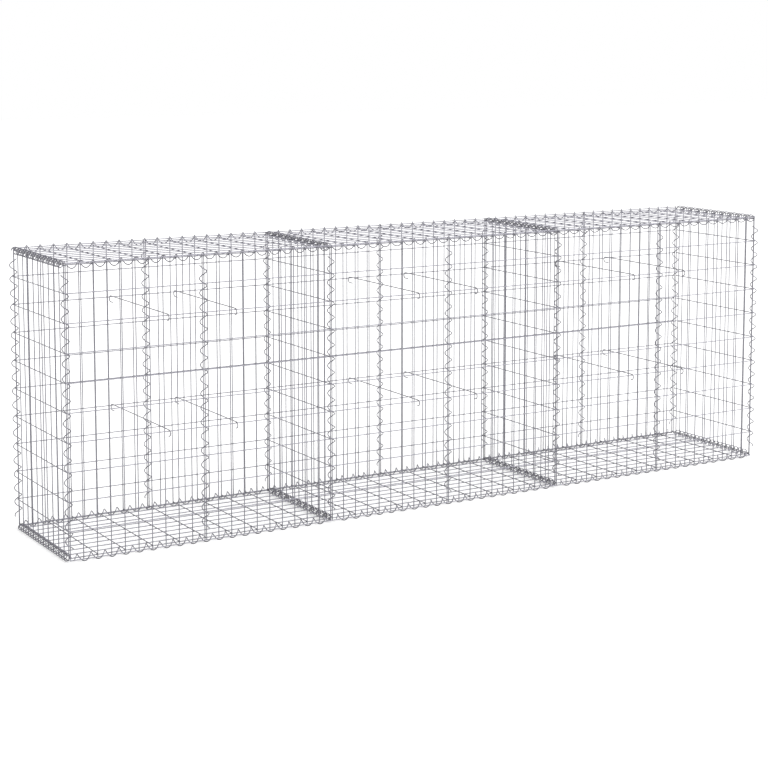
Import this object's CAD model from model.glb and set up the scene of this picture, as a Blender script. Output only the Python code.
"""Empty gabion wall of welded wire panels, laced by wire spirals and stayed by hooked ties."""

import logging
import math
from dataclasses import dataclass, field
from enum import Enum
from typing import Any, Iterator

import bmesh
import bpy
from mathutils import Euler, Matrix, Vector


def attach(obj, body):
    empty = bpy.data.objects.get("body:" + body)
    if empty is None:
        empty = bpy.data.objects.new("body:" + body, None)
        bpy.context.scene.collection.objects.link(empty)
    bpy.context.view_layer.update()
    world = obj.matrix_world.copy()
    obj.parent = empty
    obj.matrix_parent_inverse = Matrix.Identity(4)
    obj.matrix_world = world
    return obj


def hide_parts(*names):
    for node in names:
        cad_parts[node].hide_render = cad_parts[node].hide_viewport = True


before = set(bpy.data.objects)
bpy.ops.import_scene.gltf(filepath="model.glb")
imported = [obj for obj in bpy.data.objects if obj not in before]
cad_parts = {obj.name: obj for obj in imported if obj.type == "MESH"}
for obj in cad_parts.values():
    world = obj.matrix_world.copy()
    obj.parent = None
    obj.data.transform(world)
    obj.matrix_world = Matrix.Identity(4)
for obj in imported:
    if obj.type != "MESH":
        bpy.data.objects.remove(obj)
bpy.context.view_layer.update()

BODY = "root"
MM = 0.001
IMAGE_SIDE = 768
WHITE = (1.0, 1.0, 1.0, 1.0)
log = logging.getLogger("gabion_wall")


class Side(Enum):
    """The two halves of a bay's front or back, and the two ends of the wall."""

    LEFT = "left"
    RIGHT = "right"


class Level(Enum):
    """The two level panels of a bay."""

    FLOOR = "floor"
    LID = "lid"


class PanelKind(Enum):
    """The three kinds of welded panel, by the place that they are made for."""

    WALL = "front or back"
    BUTT = "end or partition"
    LEVEL = "floor or lid"


class Socket:
    """An output socket; arithmetic on it adds Math nodes to its tree."""

    def __init__(self, graph: "Graph", socket: bpy.types.NodeSocket) -> None:
        """Keeps the socket and the graph that it belongs to."""
        self.graph = graph
        self.socket = socket

    def math(self, operation: str, *values: Any) -> "Socket":
        """Adds a Math node.

        Args:
            operation: the node's operation.
            values: its inputs, in order.

        Returns:
            The node's result.
        """
        return self.graph.add("ShaderNodeMath", {"operation": operation}, dict(enumerate(values)))["Value"]

    def __add__(self, other: Any) -> "Socket":
        """Sum of two values."""
        return self.math("ADD", self, other)

    def __radd__(self, other: Any) -> "Socket":
        """Sum with a plain number first."""
        return self.math("ADD", other, self)

    def __sub__(self, other: Any) -> "Socket":
        """Difference of two values."""
        return self.math("SUBTRACT", self, other)

    def __rsub__(self, other: Any) -> "Socket":
        """Difference with a plain number first."""
        return self.math("SUBTRACT", other, self)

    def __mul__(self, other: Any) -> "Socket":
        """Product of two values."""
        return self.math("MULTIPLY", self, other)

    def __rmul__(self, other: Any) -> "Socket":
        """Product with a plain number first."""
        return self.math("MULTIPLY", other, self)

    def __truediv__(self, other: Any) -> "Socket":
        """Quotient of two values."""
        return self.math("DIVIDE", self, other)

    def __rtruediv__(self, other: Any) -> "Socket":
        """Quotient with a plain number first."""
        return self.math("DIVIDE", other, self)

    def floor(self) -> "Socket":
        """Whole part of a value."""
        return self.math("FLOOR", self)

    def ceil(self) -> "Socket":
        """Next whole number."""
        return self.math("CEIL", self)

    def sine(self) -> "Socket":
        """Sine of an angle in radians."""
        return self.math("SINE", self)

    def cosine(self) -> "Socket":
        """Cosine of an angle in radians."""
        return self.math("COSINE", self)

    def between(self, low: Any, high: Any) -> "Socket":
        """Value held between a low and a high limit."""
        return self.math("MINIMUM", self.math("MAXIMUM", self, low), high)


class Added:
    """A node that was added to a graph; its outputs are read by name."""

    def __init__(self, graph: "Graph", node: bpy.types.Node) -> None:
        """Keeps the node."""
        self.graph = graph
        self.node = node

    def __getitem__(self, name: str | int) -> Socket:
        """The output of that name or number."""
        return Socket(self.graph, self.node.outputs[name])


class Graph:
    """A node tree that is written from the script."""

    def __init__(self, tree: bpy.types.NodeTree) -> None:
        """Empties the tree."""
        self.tree = tree
        tree.nodes.clear()

    def add(self, kind: str, settings: dict[str, Any] | None = None,
            sockets: dict[str | int, Any] | None = None) -> Added:
        """Adds one node.

        Args:
            kind: the node's type.
            settings: its properties, set first.
            sockets: values or links of its inputs, by name or number.

        Returns:
            The node that was added.
        """
        node = self.tree.nodes.new(kind)
        for name, value in (settings or {}).items():
            setattr(node, name, value)
        for name, value in (sockets or {}).items():
            entry = node.inputs[name]
            for one in value if isinstance(value, list) else [value]:
                if isinstance(one, Socket):
                    self.tree.links.new(one.socket, entry)
                else:
                    entry.default_value = one
        return Added(self, node)

    def vector(self, x: Any, y: Any, z: Any) -> Socket:
        """Vector of three values."""
        return self.add("ShaderNodeCombineXYZ", None, {"X": x, "Y": y, "Z": z})["Vector"]


class ShapeTree:
    """A Geometry Nodes tree with named inputs."""

    def __init__(self, name: str, inputs: dict[str, str]) -> None:
        """Makes the tree.

        Args:
            name: the tree's name.
            inputs: socket type of each named input.
        """
        self.tree = bpy.data.node_groups.new(name, "GeometryNodeTree")
        self.identifiers: dict[str, str] = {}
        for label, kind in inputs.items():
            item = self.tree.interface.new_socket(name=label, in_out="INPUT", socket_type=kind)
            self.identifiers[label] = item.identifier
        self.tree.interface.new_socket(name="Geometry", in_out="OUTPUT", socket_type="NodeSocketGeometry")
        self.graph = Graph(self.tree)
        self.given = self.graph.add("NodeGroupInput")

    def finish(self, parts: list[Socket]) -> None:
        """Joins the parts, realizes them, sets the finish and ends the tree.

        Args:
            parts: geometry of each part.
        """
        graph = self.graph
        joined = graph.add("GeometryNodeJoinGeometry", None, {"Geometry": list(reversed(parts))})["Geometry"]
        real = graph.add("GeometryNodeRealizeInstances", None, {"Geometry": joined})["Geometry"]
        dressed = graph.add("GeometryNodeSetMaterial", None, {"Geometry": real, "Material": self.given["Finish"]})
        graph.add("NodeGroupOutput", None, {"Geometry": dressed["Geometry"]})

    def mesh(self, name: str, values: dict[str, Any], start: bpy.types.ID | None = None) -> bpy.types.Mesh:
        """Runs the tree.

        Args:
            name: name of the mesh.
            values: value of each named input.
            start: data of the object that the tree starts from.

        Returns:
            The result as a plain mesh.
        """
        holder = bpy.data.objects.new(name, start or bpy.data.meshes.new(name + "_start"))
        bpy.context.scene.collection.objects.link(holder)
        modifier = holder.modifiers.new("shape", "NODES")
        modifier.node_group = self.tree
        for label, value in values.items():
            modifier[self.identifiers[label]] = value
        holder.update_tag()
        shown = holder.evaluated_get(bpy.context.evaluated_depsgraph_get())
        made = bpy.data.meshes.new_from_object(shown)
        bpy.data.objects.remove(holder)
        return made


def round_wire(graph: Graph, path: Socket, diameter: Any, sides: int) -> Socket:
    """Round wire along a path, closed at both cut ends.

    Args:
        graph: the tree to add to.
        path: the curve that the wire follows.
        diameter: the wire's diameter.
        sides: number of its sides.

    Returns:
        The wire's surface.
    """
    ring = graph.add("GeometryNodeCurvePrimitiveCircle", None, {"Resolution": sides, "Radius": diameter * 0.5})
    tube = graph.add("GeometryNodeCurveToMesh", None,
                     {"Curve": path, "Profile Curve": ring["Curve"], "Fill Caps": True})["Mesh"]
    return graph.add("GeometryNodeSetShadeSmooth", None, {"Geometry": tube})["Geometry"]


def eased_ends(graph: Graph, path: Socket, share: float) -> Socket:
    """Path whose wire is a little thinner at its cut ends.

    Args:
        graph: the tree to add to.
        path: the curve.
        share: thickness left at the cut.

    Returns:
        The curve with its radius set.
    """
    ends = graph.add("GeometryNodeCurveEndpointSelection", None, {"Start Size": 1, "End Size": 1})["Selection"]
    full = graph.add("GeometryNodeSetCurveRadius", None, {"Curve": path, "Radius": 1.0})["Curve"]
    return graph.add("GeometryNodeSetCurveRadius", None,
                     {"Curve": full, "Selection": ends, "Radius": share})["Curve"]


@dataclass(frozen=True)
class GalvanisedFinish:
    """Dull zinc coat on drawn wire: cloudy greys, small crystals and a fine roughness."""

    name: str
    slot: str
    dark: tuple[float, float, float]
    light: tuple[float, float, float]
    metallic: float = 0.95
    rough_low: float = 0.2
    rough_high: float = 0.34
    cloud_scale: float = 55.0
    cloud_detail: float = 4.0
    cloud_break: float = 0.6
    cloud_share: float = 0.9
    cloud_polish: float = 0.4
    crystal_scale: float = 420.0
    crystal_share: float = 0.35
    crystal_polish: float = 0.6
    crystal_relief: float = 0.5
    grain_scale: float = 1500.0
    grain_detail: float = 2.0
    grain_share: float = 0.15
    tone_drop: float = 0.2
    relief_strength: float = 0.25
    relief_height: float = 0.2 * MM

    def material(self) -> bpy.types.Material:
        """Makes the material.

        Returns:
            The finished material.
        """
        material = bpy.data.materials.new(self.name)
        material.use_nodes = True
        graph = Graph(material.node_tree)
        place = graph.add("ShaderNodeTexCoord")["Object"]
        cloud = graph.add("ShaderNodeTexNoise", None, {
            "Vector": place, "Scale": self.cloud_scale, "Detail": self.cloud_detail,
            "Roughness": self.cloud_break})["Fac"]
        crystal = graph.add("ShaderNodeTexVoronoi", {"feature": "F1"},
                            {"Vector": place, "Scale": self.crystal_scale})["Color"]
        flake = graph.add("ShaderNodeSeparateColor", None, {"Color": crystal})["Red"]
        grain = graph.add("ShaderNodeTexNoise", None,
                          {"Vector": place, "Scale": self.grain_scale, "Detail": self.grain_detail})["Fac"]
        tone = (cloud * self.cloud_share + flake * self.crystal_share + grain * self.grain_share
                - self.tone_drop).between(0.0, 1.0)
        colour = graph.add("ShaderNodeMix", {"data_type": "RGBA"},
                           {0: tone, 6: (*self.dark, 1.0), 7: (*self.light, 1.0)})[2]
        dull = 1 - flake * self.crystal_polish - cloud * self.cloud_polish
        rough = self.rough_low + (self.rough_high - self.rough_low) * dull
        bump = graph.add("ShaderNodeBump", None, {
            "Strength": self.relief_strength, "Distance": self.relief_height,
            "Height": grain + flake * self.crystal_relief})["Normal"]
        shader = graph.add("ShaderNodeBsdfPrincipled", None,
                           {"Base Color": colour, "Metallic": self.metallic, "Roughness": rough, "Normal": bump})
        graph.add("ShaderNodeOutputMaterial", None, {"Surface": shader["BSDF"]})
        return material


PANEL_FINISH = GalvanisedFinish("panel_zinc", "panel_wire", (0.154, 0.151, 0.172), (0.275, 0.272, 0.305))
SPIRAL_FINISH = GalvanisedFinish("spiral_zinc", "spiral_wire", (0.142, 0.14, 0.159), (0.26, 0.257, 0.288))
TIE_FINISH = GalvanisedFinish("tie_zinc", "tie_wire", (0.118, 0.116, 0.132), (0.216, 0.213, 0.24))


@dataclass
class WallSizes:
    """Sizes that the wall's pieces share, in metres; heights of seams are counted from the ground line."""

    bays: int = 3
    bay_length: float = 1000 * MM
    depth: float = 500 * MM
    height: float = 1000 * MM
    fine_cell: float = 50 * MM
    level_cell: float = 100 * MM
    wire: float = 3.5 * MM
    layer: float = 3.41 * MM
    overrun: float = 3.005 * MM
    seam_inset: float = 3.305 * MM
    butt_inset: float = 6.31 * MM
    floor_lift: float = 5.51 * MM
    ground: float = 8.5405 * MM
    spiral_radius: float = 12.3 * MM

    @property
    def half_bay(self) -> float:
        """Width of one front panel."""
        return self.bay_length / 2

    @property
    def half_depth(self) -> float:
        """Distance from the middle of the wall to its front."""
        return self.depth / 2

    @property
    def length(self) -> float:
        """Length of the wall between its end seams."""
        return self.bays * self.bay_length

    def bay_x(self, bay: int) -> float:
        """Middle of a bay, counted from 1."""
        return (bay - (self.bays + 1) / 2) * self.bay_length

    def post_x(self, post: int) -> float:
        """Place of a vertical seam line, counted from 0."""
        return (post - self.bays) * self.half_bay

    def turned(self, axis: str | None) -> Matrix:
        """Half turn of a bay's box about one of its axes, or none."""
        if axis is None:
            return Matrix.Identity(4)
        middle = Vector((0, 0, self.height / 2))
        return Matrix.Translation(middle) @ turn(axis, 180) @ Matrix.Translation(-middle)


def turn(axis: str, degrees: float) -> Matrix:
    """Turn about X, Y or Z by degrees."""
    return Matrix.Rotation(math.radians(degrees), 4, axis)


def shift(x: float, y: float, z: float) -> Matrix:
    """Move by three lengths."""
    return Matrix.Translation((x, y, z))


@dataclass
class Dresser:
    """Turns finished meshes into pieces that stand for the wall's nodes."""

    sharp_degrees: float = 50.0
    made: list[str] = field(default_factory=list)

    def piece(self, name: str, mesh: bpy.types.Mesh, finish: GalvanisedFinish, node: str) -> bpy.types.Object:
        """Puts a finished mesh into the scene.

        Args:
            name: the piece's name.
            mesh: its mesh, in place.
            finish: its finish.
            node: the node that it stands for.

        Returns:
            The piece.
        """
        mesh.name = name
        mesh.set_sharp_from_angle(angle=math.radians(self.sharp_degrees))
        piece = bpy.data.objects.new(name, mesh)
        bpy.context.scene.collection.objects.link(piece)
        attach(piece, BODY)
        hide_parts(node)
        self.made.append(name)
        log.info("%s: %d faces for %s", name, len(mesh.polygons), node)
        return piece


@dataclass
class WeldedPanels:
    """All welded panels: long wires, cross wires on their outer side and a weld at each crossing."""

    sizes: WallSizes
    finish: GalvanisedFinish
    sides: int = 10
    weld_width: float = 2.3 * MM
    weld_depth: float = 1.25 * MM
    weld_segments: int = 8
    weld_rings: int = 5
    weld_least: float = 0.85
    weld_most: float = 1.15
    cut_ease: float = 0.35 * MM
    cut_share: float = 0.82
    seed_step: int = 10

    def tree(self) -> ShapeTree:
        """Writes the tree of one panel.

        Returns:
            The tree; X runs along the cross wires, Z along the long wires.
        """
        shape = ShapeTree("welded_panel", {
            "Long Cells": "NodeSocketInt", "Long Cell": "NodeSocketFloat", "Long Inset": "NodeSocketFloat",
            "Cross Cells": "NodeSocketInt", "Cross Cell": "NodeSocketFloat", "Cross Inset": "NodeSocketFloat",
            "Wire": "NodeSocketFloat", "Layer": "NodeSocketFloat", "Overrun": "NodeSocketFloat",
            "Seed": "NodeSocketInt", "Finish": "NodeSocketMaterial"})
        index = shape.graph.add("GeometryNodeInputIndex")["Index"]
        shape.finish([self.add_run(shape, "Long", "Cross", index), self.add_run(shape, "Cross", "Long", index),
                      self.add_welds(shape, index)])
        return shape

    @staticmethod
    def rail(given: Added, run: str, number: Socket) -> Socket:
        """Place of a wire across its panel.

        Args:
            given: the tree's inputs.
            run: which wires.
            number: the wire's number from 0.

        Returns:
            Its distance from the panel's edge.
        """
        span = given[f"{run} Cells"] * given[f"{run} Cell"]
        inset = given[f"{run} Inset"]
        return (number * given[f"{run} Cell"]).between(inset, span - inset)

    def add_run(self, shape: ShapeTree, run: str, other: str, index: Socket) -> Socket:
        """Adds the wires of one direction.

        Args:
            shape: the panel's tree.
            run: the wires to add, Long or Cross.
            other: the wires that they cross.
            index: number of a point.

        Returns:
            The wires.
        """
        graph, given = shape.graph, shape.given
        first = given[f"{other} Inset"] - given["Overrun"]
        length = given[f"{other} Cells"] * given[f"{other} Cell"] - 2 * first
        ease = self.cut_ease
        line = graph.add("GeometryNodeMeshLine", None, {"Count": 4})["Mesh"]
        along = (index.between(0.0, 1.0) * ease + (index - 1).between(0.0, 1.0) * (length - 2 * ease)
                 + (index - 2).between(0.0, 1.0) * ease)
        place = graph.vector(0.0, 0.0, along) if run == "Long" else graph.vector(along, 0.0, 0.0)
        line = graph.add("GeometryNodeSetPosition", None, {"Geometry": line, "Position": place})["Geometry"]
        path = graph.add("GeometryNodeMeshToCurve", None, {"Mesh": line})["Curve"]
        wire = round_wire(graph, eased_ends(graph, path, self.cut_share), given["Wire"], self.sides)
        across = self.rail(given, run, index)
        if run == "Long":
            start = graph.vector(across, 0.0, first)
        else:
            start = graph.vector(first, 0 - given["Layer"], across)
        points = graph.add("GeometryNodePoints", None,
                           {"Count": given[f"{run} Cells"] + 1, "Position": start})["Points"]
        return graph.add("GeometryNodeInstanceOnPoints", None, {"Points": points, "Instance": wire})["Instances"]

    def add_welds(self, shape: ShapeTree, index: Socket) -> Socket:
        """Adds a bead of squeezed metal at each crossing.

        Args:
            shape: the panel's tree.
            index: number of a point.

        Returns:
            The beads.
        """
        graph, given = shape.graph, shape.given
        rows = given["Cross Cells"] + 1
        column = (index / rows).floor()
        row = index - column * rows
        place = graph.vector(self.rail(given, "Long", column), given["Layer"] * -0.5, self.rail(given, "Cross", row))
        points = graph.add("GeometryNodePoints", None,
                           {"Count": (given["Long Cells"] + 1) * rows, "Position": place})["Points"]
        bead = graph.add("GeometryNodeMeshUVSphere", None, {
            "Segments": self.weld_segments, "Rings": self.weld_rings, "Radius": 1.0})["Mesh"]
        bead = graph.add("GeometryNodeSetShadeSmooth", None, {"Geometry": bead})["Geometry"]
        swell = graph.add("FunctionNodeRandomValue", {"data_type": "FLOAT"},
                          {2: self.weld_least, 3: self.weld_most, "Seed": given["Seed"]})[1]
        spin = graph.add("FunctionNodeRandomValue", {"data_type": "FLOAT"},
                         {2: 0.0, 3: math.tau, "Seed": given["Seed"] + 1})[1]
        size = graph.vector(swell * self.weld_width, swell * self.weld_depth, swell * self.weld_width)
        return graph.add("GeometryNodeInstanceOnPoints", None, {
            "Points": points, "Instance": bead, "Scale": size,
            "Rotation": graph.vector(0.0, spin, 0.0)})["Instances"]

    def plan(self) -> Iterator[tuple[str, PanelKind, Matrix]]:
        """Lists the panels.

        Returns:
            Node, kind and place of each panel.
        """
        s = self.sizes
        for bay in range(1, s.bays + 1):
            for side in Side:
                right = side is Side.RIGHT
                yield (f"front_panel_{bay}_{side.value}", PanelKind.WALL,
                       shift(s.bay_x(bay) - (0 if right else s.half_bay), -s.half_depth, s.ground))
                yield (f"back_panel_{bay}_{side.value}", PanelKind.WALL,
                       shift(s.bay_x(bay) + (s.half_bay if right else 0), s.half_depth, s.ground) @ turn("Z", 180))
        for side in Side:
            yield (f"{side.value}_end_panel", PanelKind.BUTT,
                   shift(0, 0, s.ground) @ turn("Z", 180 if side is Side.RIGHT else 0)
                   @ shift(-s.length / 2, s.half_depth, 0) @ turn("Z", -90))
        for bay in range(1, s.bays):
            yield (f"partition_panel_{bay}", PanelKind.BUTT,
                   shift(s.bay_x(bay) + s.half_bay, s.half_depth, s.ground) @ turn("Z", -90))
        for level in Level:
            for bay in range(1, s.bays + 1):
                yield (f"{level.value}_panel_{bay}", PanelKind.LEVEL,
                       shift(s.bay_x(bay), 0, s.ground) @ s.turned("X" if level is Level.LID else None)
                       @ shift(-s.half_bay, s.half_depth, s.floor_lift) @ turn("X", 180)
                       @ turn("Z", 90) @ turn("X", 90))

    def grids(self, kind: PanelKind) -> dict[str, Any]:
        """Cells and insets of a kind of panel.

        Args:
            kind: the kind of panel.

        Returns:
            The tree's inputs for it.
        """
        s = self.sizes
        width = s.half_bay if kind is PanelKind.WALL else s.depth
        run = s.bay_length if kind is PanelKind.LEVEL else s.height
        return {"Long Cells": round(width / s.fine_cell), "Long Cell": s.fine_cell,
                "Long Inset": s.seam_inset if kind is PanelKind.WALL else s.butt_inset,
                "Cross Cells": round(run / s.level_cell), "Cross Cell": s.level_cell,
                "Cross Inset": s.butt_inset if kind is PanelKind.LEVEL else 0.0}

    def build(self, dresser: Dresser) -> None:
        """Makes every panel."""
        s, shape, material = self.sizes, self.tree(), self.finish.material()
        for number, (node, kind, place) in enumerate(self.plan()):
            mesh = shape.mesh(node + "_wires", {
                **self.grids(kind), "Wire": s.wire, "Layer": s.layer, "Overrun": s.overrun,
                "Seed": self.seed_step * number, "Finish": material})
            mesh.transform(place)
            dresser.piece(node + "_wires", mesh, self.finish, node)


@dataclass
class LacingSpirals:
    """The wire spirals along every seam."""

    sizes: WallSizes
    finish: GalvanisedFinish
    wire: float = 3.5 * MM
    sides: int = 8
    turn_points: int = 20
    cut_share: float = 0.8
    wall_pitch: float = 50 * MM
    cross_pitch: float = 25 * MM
    post_trim: float = 37.5 * MM
    edge_trim: float = 12.5 * MM
    cross_trim: float = 18.75 * MM

    def tree(self) -> ShapeTree:
        """Writes the tree of one left-handed spiral about Z.

        Returns:
            The tree.
        """
        shape = ShapeTree("lacing_spiral", {
            "Radius": "NodeSocketFloat", "Pitch": "NodeSocketFloat", "Start": "NodeSocketFloat",
            "End": "NodeSocketFloat", "Wire": "NodeSocketFloat", "Finish": "NodeSocketMaterial"})
        graph, given = shape.graph, shape.given
        run = given["End"] - given["Start"]
        count = (run / given["Pitch"] * self.turn_points).ceil() + 1
        index = graph.add("GeometryNodeInputIndex")["Index"]
        line = graph.add("GeometryNodeMeshLine", None, {"Count": count})["Mesh"]
        along = given["Start"] + run * index / (count - 1)
        angle = along / given["Pitch"] * math.tau
        place = graph.vector(angle.sine() * given["Radius"] * -1, angle.cosine() * given["Radius"] * -1, along)
        line = graph.add("GeometryNodeSetPosition", None, {"Geometry": line, "Position": place})["Geometry"]
        path = graph.add("GeometryNodeMeshToCurve", None, {"Mesh": line})["Curve"]
        shape.finish([round_wire(graph, eased_ends(graph, path, self.cut_share), given["Wire"], self.sides)])
        return shape

    def plan(self) -> Iterator[tuple[str, list[Matrix], float, float, float]]:
        """Lists the spirals.

        Returns:
            Node, places of its spirals, and their seam's length, pitch and trim.
        """
        s = self.sizes
        for post in range(2 * s.bays + 1):
            yield (f"post_spirals_{post + 1}",
                   [shift(s.post_x(post), 0, s.ground) @ turn("Z", half) @ shift(0, -s.half_depth, 0)
                    for half in (0, 180)], s.height, self.wall_pitch, self.post_trim)
        ways = {Level.FLOOR: (None, "Z"), Level.LID: ("Y", "X")}
        for level in Level:
            for bay in range(1, s.bays + 1):
                yield (f"{level.value}_spirals_{bay}",
                       [shift(s.bay_x(bay), 0, s.ground) @ s.turned(way)
                        @ shift(-s.half_bay, -s.half_depth, s.floor_lift) @ turn("Z", 90) @ turn("X", 90)
                        for way in ways[level]], s.bay_length, self.wall_pitch, self.edge_trim)
        for seam in range(s.bays + 1):
            yield (f"cross_spirals_{seam + 1}",
                   [shift(s.post_x(2 * seam), 0, s.ground) @ turn("Z", 180 if seam == s.bays else 0)
                    @ s.turned(way) @ shift(0, s.half_depth, s.floor_lift) @ turn("X", 90)
                    for way in (None, "X")], s.depth, self.cross_pitch, self.cross_trim)

    def build(self, dresser: Dresser) -> None:
        """Makes every spiral."""
        shape, material = self.tree(), self.finish.material()
        for node, places, seam, pitch, trim in self.plan():
            mesh = shape.mesh(node + "_wire", {
                "Radius": self.sizes.spiral_radius, "Pitch": pitch, "Start": trim, "End": seam - trim,
                "Wire": self.wire, "Finish": material})
            dresser.piece(node + "_wire", placed(mesh, places), self.finish, node)


def placed(mesh: bpy.types.Mesh, places: list[Matrix]) -> bpy.types.Mesh:
    """Copies of a mesh in several places, as one mesh.

    Args:
        mesh: the mesh to copy.
        places: where the copies go.

    Returns:
        The joined mesh.
    """
    joined = bmesh.new()
    for place in places:
        copy = mesh.copy()
        copy.transform(place)
        joined.from_mesh(copy)
        bpy.data.meshes.remove(copy)
    joined.to_mesh(mesh)
    joined.free()
    return mesh


@dataclass
class HookedTies:
    """Straight ties with a hook at each end, over a level wire of the front and of the back."""

    sizes: WallSizes
    finish: GalvanisedFinish
    wire: float = 3.5 * MM
    seat: float = 4.055 * MM
    hook_radius: float = 11 * MM
    front_tail: float = 4 * MM
    back_tail: float = 20 * MM
    offsets: tuple[float, ...] = (-135 * MM, 120 * MM)
    levels: tuple[int, ...] = (4, 8)
    hook_points: int = 12
    sides: int = 10
    cut_share: float = 0.8

    def tree(self) -> ShapeTree:
        """Writes the tree of a round wire along a bent path.

        Returns:
            The tree.
        """
        shape = ShapeTree("hooked_tie", {"Geometry": "NodeSocketGeometry", "Wire": "NodeSocketFloat",
                                         "Finish": "NodeSocketMaterial"})
        path = eased_ends(shape.graph, shape.given["Geometry"], self.cut_share)
        shape.finish([round_wire(shape.graph, path, shape.given["Wire"], self.sides)])
        return shape

    def path(self) -> list[tuple[float, float, float]]:
        """Points of one tie from its front tail to its back tail."""
        reach = self.sizes.half_depth + self.sizes.layer
        radius = self.hook_radius
        arc = [math.pi * n / self.hook_points for n in range(self.hook_points + 1)]
        front = [(0.0, -reach - radius * math.sin(a), -radius - radius * math.cos(a)) for a in arc]
        back = [(0.0, reach + radius * math.sin(a), -radius + radius * math.cos(a)) for a in arc]
        return [(0.0, -reach + self.front_tail, -2 * radius), *front, *back,
                (0.0, reach - self.back_tail, -2 * radius)]

    def build(self, dresser: Dresser) -> None:
        """Makes the ties of every bay."""
        s, shape, material = self.sizes, self.tree(), self.finish.material()
        for bay in range(1, s.bays + 1):
            points = self.path()
            bend = bpy.data.curves.new(f"tie_path_{bay}", "CURVE")
            bend.dimensions = "3D"
            spline = bend.splines.new("POLY")
            spline.points.add(len(points) - 1)
            for point, place in zip(spline.points, points):
                point.co = (*place, 1.0)
            node = f"ties_{bay}"
            mesh = shape.mesh(node + "_wire", {"Wire": self.wire, "Finish": material}, bend)
            places = [shift(s.bay_x(bay) + x, 0, s.ground + level * s.level_cell + self.seat)
                      for x in self.offsets for level in self.levels]
            dresser.piece(node + "_wire", placed(mesh, places), self.finish, node)


def facing(azimuth: float, elevation: float) -> Euler:
    """Turn of a lamp or camera that faces the wall.

    Args:
        azimuth: where it stands, in degrees from the front to the right.
        elevation: its height above the level, in degrees.

    Returns:
        The turn, as Euler angles.
    """
    side, height = math.radians(azimuth), math.radians(elevation)
    back = Vector((math.sin(side) * math.cos(height), -math.cos(side) * math.cos(height), math.sin(height)))
    return (-back).to_track_quat("-Z", "Y").to_euler()


@dataclass
class Studio:
    """White floor and surround, soft light and the camera."""

    floor_side: float = 60.0
    floor_grey: float = 0.8
    floor_glow: float = 0.42
    ambient: float = 0.5
    sun_strength: float = 2.8
    sun_angle: float = 60.0
    sun_from: tuple[float, float] = (50.0, 48.0)
    eye: tuple[float, float, float] = (-3.6115, -5.8468, 1.7526)
    azimuth: float = -30.77
    elevation: float = 6.14
    focal_pixels: float = 1810.3
    rise_pixels: float = 154.0
    sensor: float = 36.0

    @staticmethod
    def seen(graph: Graph) -> Socket:
        """One for what the camera sees straight, in a mirror or through glass."""
        rays = graph.add("ShaderNodeLightPath")
        return (rays["Is Camera Ray"] + rays["Is Glossy Ray"] + rays["Is Transmission Ray"]).between(0.0, 1.0)

    def surround(self) -> None:
        """Lights the scene evenly and shows plain white behind it."""
        world = bpy.data.worlds.new("studio")
        bpy.context.scene.world = world
        world.use_nodes = True
        graph = Graph(world.node_tree)
        strength = self.ambient + (1 - self.ambient) * self.seen(graph)
        light = graph.add("ShaderNodeBackground", None, {"Color": WHITE, "Strength": strength})
        graph.add("ShaderNodeOutputWorld", None, {"Surface": light["Background"]})

    def floor(self) -> None:
        """Lays the white floor, which keeps the wall's shadow."""
        half = self.floor_side / 2
        mesh = bpy.data.meshes.new("floor")
        corners = [(-half, -half, 0), (half, -half, 0), (half, half, 0), (-half, half, 0)]
        mesh.from_pydata(corners, [], [(0, 1, 2, 3)])
        floor = bpy.data.objects.new("floor", mesh)
        bpy.context.scene.collection.objects.link(floor)
        material = bpy.data.materials.new("floor_white")
        material.use_nodes = True
        graph = Graph(material.node_tree)
        matt = graph.add("ShaderNodeBsdfDiffuse", None, {"Color": (*[self.floor_grey] * 3, 1.0)})["BSDF"]
        glow = graph.add("ShaderNodeEmission", None, {
            "Color": WHITE, "Strength": self.floor_glow * self.seen(graph)})["Emission"]
        both = graph.add("ShaderNodeAddShader", None, {0: matt, 1: glow})["Shader"]
        graph.add("ShaderNodeOutputMaterial", None, {"Surface": both})
        mesh.materials.append(material)

    def lamps(self) -> None:
        """Hangs one broad soft lamp over the wall's right front."""
        lamp = bpy.data.lights.new("key", "SUN")
        lamp.energy = self.sun_strength
        lamp.angle = math.radians(self.sun_angle)
        key = bpy.data.objects.new("key", lamp)
        key.rotation_euler = facing(*self.sun_from)
        bpy.context.scene.collection.objects.link(key)

    def camera(self) -> None:
        """Sets the camera at the photograph's viewing angle."""
        lens = bpy.data.cameras.new("camera")
        lens.sensor_width = self.sensor
        lens.lens = self.focal_pixels / IMAGE_SIDE * self.sensor
        lens.shift_y = -self.rise_pixels / IMAGE_SIDE
        camera = bpy.data.objects.new("camera", lens)
        camera.location = self.eye
        camera.rotation_euler = facing(self.azimuth, self.elevation)
        bpy.context.scene.collection.objects.link(camera)
        bpy.context.scene.camera = camera

    def build(self) -> None:
        """Sets up the whole studio."""
        bpy.context.scene.view_settings.view_transform = "Standard"
        self.camera()
        self.surround()
        self.floor()
        self.lamps()


def main() -> None:
    """Builds the wall and the studio."""
    logging.basicConfig(level=logging.INFO, format="%(name)s: %(message)s")
    sizes, dresser = WallSizes(), Dresser()
    Studio().build()
    WeldedPanels(sizes, PANEL_FINISH).build(dresser)
    LacingSpirals(sizes, SPIRAL_FINISH).build(dresser)
    HookedTies(sizes, TIE_FINISH).build(dresser)
    log.info("%d pieces", len(dresser.made))


if __name__ == "__main__":
    main()
